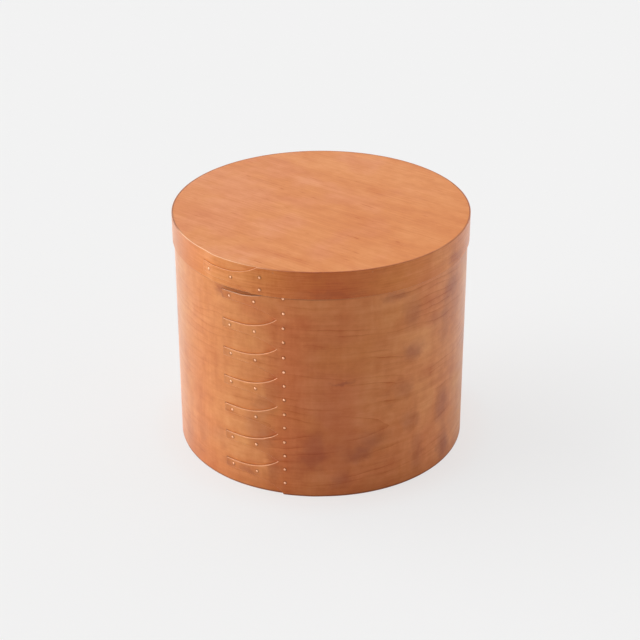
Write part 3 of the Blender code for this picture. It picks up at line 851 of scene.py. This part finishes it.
def cherryBoard(name, wood, shift):
    look = Look(name, {"Specular IOR Level": wood["specular"]})
    place = look.node("TexCoord", {}, output=3)
    turn = (0.0, 0.0, radians(-wood["grainTurn"]))
    grain = look.node("Mapping", {}, {"Vector": place, "Location": shift, "Rotation": turn})
    x, y, z = look.split(grain)
    wander = look.noise(look.stretched(grain, (4.0, 14.0, 14.0)), detail=2.0)
    rings = (y + (wander - 0.5) * 0.012 + z * 0.4) / wood["ringSpacing"]
    late = look.maths("FRACT", rings) ** 5.0
    shown = look.noise(look.joined(rings * 0.23, x * 9.0, 0.0), detail=1.0)  # the rings, in places only
    fibre = look.noise(look.stretched(grain, (26.0, 700.0, 700.0)), detail=3.0, roughness=0.6)
    fleck = look.noise(look.stretched(grain, (60.0, 420.0, 420.0)), detail=1.0)
    strand = look.noise(look.stretched(grain, (7.0, 130.0, 130.0)), detail=2.0)
    wide = look.noise(look.stretched(grain, (5.0, 26.0, 26.0)), detail=2.0)
    mottle = look.noise(look.stretched(grain, (48.0, 70.0, 70.0)), detail=3.0, roughness=0.6)
    cloud = look.noise(look.stretched(grain, (11.0, 17.0, 17.0)), detail=2.0)
    tone = 0.5 + (fibre - 0.5) * wood["fibreShare"] + (strand - 0.5) * wood["strandShare"]
    tone = tone + (wide - 0.5) * wood["wideShare"] + (mottle - 0.5) * wood["mottleShare"]
    tone = tone + (cloud - 0.5) * wood["cloudShare"] - look.between(fleck, 0.66, 0.82) * wood["fleckShare"]
    tone = tone - late * look.between(shown, 0.42, 0.62) * wood["ringShare"]
    colour = look.ramp(tone, [(0.0, wood["dark"]), (0.5, wood["plain"]), (1.0, wood["pale"])])
    elsewhere = look.moved(place, (0.7, 0.2, 0.0))
    blush = look.noise(look.stretched(elsewhere, (22.0, 20.0, 20.0)), detail=2.0)
    px, py = look.split(place)[:2]
    blush = blush - px * 1.15 + py * 0.15  # more of it at the left and at the back
    pink = look.between(blush, 0.42, 0.70) * wood["pinkShare"]
    colour = look.mixed(pink, colour, wood["pink"], "MULTIPLY")
    height = fibre * 0.6 - late * 0.3 + strand * 0.3
    return look.finished(Base_Color=colour, Roughness=wood["roughness"] + (fibre - 0.5) * 0.16,
                         Normal=look.bump(height, 0.00005))


pegWood = {
    "dark": (0.46, 0.145, 0.045),
    "plain": (0.64, 0.21, 0.068),
    "pale": (0.72, 0.25, 0.085),
    "specular": 0.4,
    "poreShare": 0.8,
    "rayShare": 0.4,
    "roughness": 0.5,
}


def pegEndGrain(name, wood):
    look = Look(name, {"Specular IOR Level": wood["specular"]})
    place = look.node("TexCoord", {}, output=3)
    pores = look.noise(place, scale=4200.0, detail=2.0, roughness=0.6)
    rays = look.noise(look.stretched(place, (900.0, 900.0, 5200.0)), detail=1.0)
    tone = 0.5 + (pores - 0.5) * wood["poreShare"] + (rays - 0.5) * wood["rayShare"]
    colour = look.ramp(tone, [(0.1, wood["dark"]), (0.6, wood["plain"]), (1.0, wood["pale"])])
    return look.finished(Base_Color=colour, Roughness=wood["roughness"] + (pores - 0.5) * 0.2,
                         Normal=look.bump(pores, 0.00004))


copper = {
    "dulled": (0.73, 0.38, 0.21),
    "bright": (0.84, 0.48, 0.30),
    "dirt": (0.16, 0.05, 0.025),
    "dirtShare": 0.65,
    "dirtFullAt": 0.05,          # of the head's height
    "roughness": 0.32,
}


def tackCopper(name, dirtTop):  # dirt lies round the head, up to this share of its height
    look = Look(name, {"Metallic": 1.0})
    place = look.node("TexCoord", {}, output=3)
    hammered = look.noise(place, scale=1300.0, detail=2.0)
    rubbed = look.noise(place, scale=90.0, detail=1.0)
    colour = look.ramp(rubbed, [(0.3, copper["dulled"]), (0.7, copper["bright"])])
    crown = look.node("Attribute", {"attribute_name": "crown"}, output=2)
    dirt = look.between(crown, dirtTop, copper["dirtFullAt"]) * copper["dirtShare"]
    colour = look.mixed(dirt, colour, copper["dirt"])
    return look.finished(Base_Color=colour, Roughness=copper["roughness"] + hammered * 0.16,
                         Normal=look.bump(hammered, 0.00006))


print("materials")
looks = {
    "boxBand": CherryBand("cherry box band", bandWood, boxBand, fingerMiddles).made(),
    "lidBand": CherryBand("cherry lid band", lidBandWood, lidBand, [lidStrip["finger"]]).made(),
    "lidTop": cherryBoard("cherry lid top", boardWood, (0.0, 0.0, 0.0)),
    "boxBottom": cherryBoard("cherry bottom", dict(boardWood, grainTurn=64.0), (0.31, 0.17, 0.0)),
    "peg": pegEndGrain("cherry peg", pegWood),
    "tack": tackCopper("copper tack", 0.20),
    "lidTack": tackCopper("copper lid tack", 0.65),
}


# The camera and the studio

camera = {
    "place": (0.0, -1.5883, 0.9540),
    "target": (0.0, 0.0, 0.1215),
    "lens": 97.07,
    "shift": (-0.00183, -0.00086),
    "roll": -0.052,
}

studio = {
    "background": 0.924,         # what the camera sees of the floor and of what is behind it
    "shadowShare": 0.24,         # how much of the floor's tone is its own light and shade
    "floorColour": 0.76,
    "floorGloss": 1.30,          # the floor in the wood's sheen
    "floorBounce": 0.62,         # the floor's colour for the light that it throws back
    "worldLight": 0.09,
    "worldGloss": 0.30,
    "paintedBounce": (1.0, 0.972, 0.962),  # painted warm bounce light from the box, on the floor close to it
    "paintedBounceReach": (0.190, 0.152),     # from the box's axis: where it begins, and where it is full
    "floorRadius": 14.0,
    "floorSides": 96,
    "floorHeight": -0.0002,
    "suns": {                    # azimuth and elevation it comes from, softness in degrees, level
        "key": (-100.0, 25.0, 70.0, 2.36),
        "keyFront": (-70.0, 20.0, 60.0, 0.98),
        "left": (-130.0, 45.0, 90.0, 0.75),
        "right": (120.0, 20.0, 70.0, 0.92),
        "rightFront": (70.0, 15.0, 70.0, 0.92),
        "back": (180.0, 30.0, 90.0, 0.85),
    },
}


def makeCamera():
    eye = bpy.data.objects.new("camera", bpy.data.cameras.new("camera"))
    bpy.context.scene.collection.objects.link(eye)
    place, target = Vector(camera["place"]), Vector(camera["target"])
    turn = (target - place).to_track_quat("-Z", "Y").to_matrix().to_4x4()
    eye.matrix_world = Matrix.Translation(place) @ turn @ Matrix.Rotation(radians(camera["roll"]), 4, "Z")
    eye.data.sensor_width = 36.0
    eye.data.lens = camera["lens"]
    eye.data.shift_x, eye.data.shift_y = camera["shift"]
    eye.data.clip_end = 100.0
    bpy.context.scene.camera = eye


def makeFloor():
    bm = bmesh.new()
    bmesh.ops.create_circle(bm, cap_ends=True, radius=studio["floorRadius"], segments=studio["floorSides"],
                            matrix=Matrix.Translation(studio["floorHeight"] * up))
    mesh = bpy.data.meshes.new("floor")
    bm.to_mesh(mesh)
    bm.free()
    look = Look("pale floor", {"Roughness": 0.9, "Specular IOR Level": 0.0, "Emission Strength": 1.0})
    rays = look.tree.nodes.new("ShaderNodeLightPath")
    cameraRay, glossyRay = (Signal(look, rays.outputs[name]) for name in ("Is Camera Ray", "Is Glossy Ray"))
    grey = {name: (studio[name],) * 3 for name in ("floorBounce", "floorGloss")}
    grey["seen"] = (studio["floorColour"] * studio["shadowShare"],) * 3
    grey["glow"] = (studio["background"] * (1.0 - studio["shadowShare"]),) * 3
    unseen = look.mixed(glossyRay, grey["floorBounce"], grey["floorGloss"])
    colour = look.mixed(cameraRay, unseen, grey["seen"])
    bounceNear = look.between(look.length(look.node("TexCoord", {}, output=3)), *studio["paintedBounceReach"])
    glow = look.mixed(bounceNear, grey["glow"], studio["paintedBounce"], "MULTIPLY")
    glow = look.mixed(cameraRay, (0.0, 0.0, 0.0), glow)
    mesh.materials.append(look.finished(Base_Color=colour, Emission_Color=glow))
    ground = bpy.data.objects.new("floor", mesh)
    bpy.context.scene.collection.objects.link(ground)


def makeLight():
    world = bpy.data.worlds.new("studio")
    bpy.context.scene.world = world
    world.use_nodes = True
    nodes, links = world.node_tree.nodes, world.node_tree.links
    rays = nodes.new("ShaderNodeLightPath")
    strength = None
    for ray, level in (("Is Glossy Ray", studio["worldGloss"]), ("Is Camera Ray", studio["background"])):
        chosen = nodes.new("ShaderNodeMix")
        chosen.inputs["A"].default_value = studio["worldLight"]
        chosen.inputs["B"].default_value = level
        links.new(rays.outputs[ray], chosen.inputs["Factor"])
        if strength is not None:
            links.new(strength, chosen.inputs["A"])
        strength = chosen.outputs["Result"]
    links.new(strength, nodes["Background"].inputs["Strength"])
    nodes["Background"].inputs["Color"].default_value = (1.0, 1.0, 1.0, 1.0)
    for name, (azimuth, elevation, softness, level) in studio["suns"].items():
        sun = bpy.data.lights.new(name, "SUN")
        sun.energy, sun.angle = level, radians(softness)
        lamp = bpy.data.objects.new(name, sun)
        bpy.context.scene.collection.objects.link(lamp)
        away = onAzimuth(azimuth, cos(radians(elevation)), sin(radians(elevation)))
        lamp.rotation_euler = away.to_track_quat("Z", "Y").to_euler()


makeCamera()
makeFloor()
makeLight()
bpy.context.scene.view_settings.view_transform = "Standard"
print("camera, floor and light")


# The box

chance = Random(tacks["seed"])


def tackRows(stem, strip, middles, base, clinched, body, look):
    settings = strip.settings
    pairs = [middle + side * settings["rowSpacing"] / 2 for middle in middles for side in (1, -1)]
    rows = [("row", 0.0, pairs), ("mid", settings["midTackReach"], middles),
            ("tip", settings["tipTackReach"], middles)]
    for row, reach, heights in rows:
        at = strip.row - reach
        drivenTacks(f"{stem}_{row}_tack", strip, at, heights, base, clinched, body, look, chance)


bentBand("box_band", boxBand, fingerMiddles, 0.0, "box", looks["boxBand"])
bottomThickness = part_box("box_bottom")[1].z
roundBoard("box_bottom", boxBand, 0.0, bottomThickness, "box", looks["boxBottom"])
woodenPegs("bottom_peg", boxBand, bottomThickness / 2, 0.0, "box", looks["peg"])
tackRows("box", boxBand, fingerMiddles[::-1], 0.0, True, "box", looks["tack"])
print("box")


# The lid

bentBand("lid_band", lidBand, [lidStrip["finger"]], lidBase, "lid", looks["lidBand"])
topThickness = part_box("lid_top")[1].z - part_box("lid_top")[0].z
topBase = lidStrip["height"] - topThickness
roundBoard("lid_top", lidBand, lidBase + topBase, topThickness, "lid", looks["lidTop"])
woodenPegs("lid_peg", lidBand, topBase + topThickness / 2, lidBase, "lid", looks["peg"])
tackRows("lid", lidBand, [lidStrip["finger"]], lidBase, False, "lid", looks["lidTack"])
print("lid")
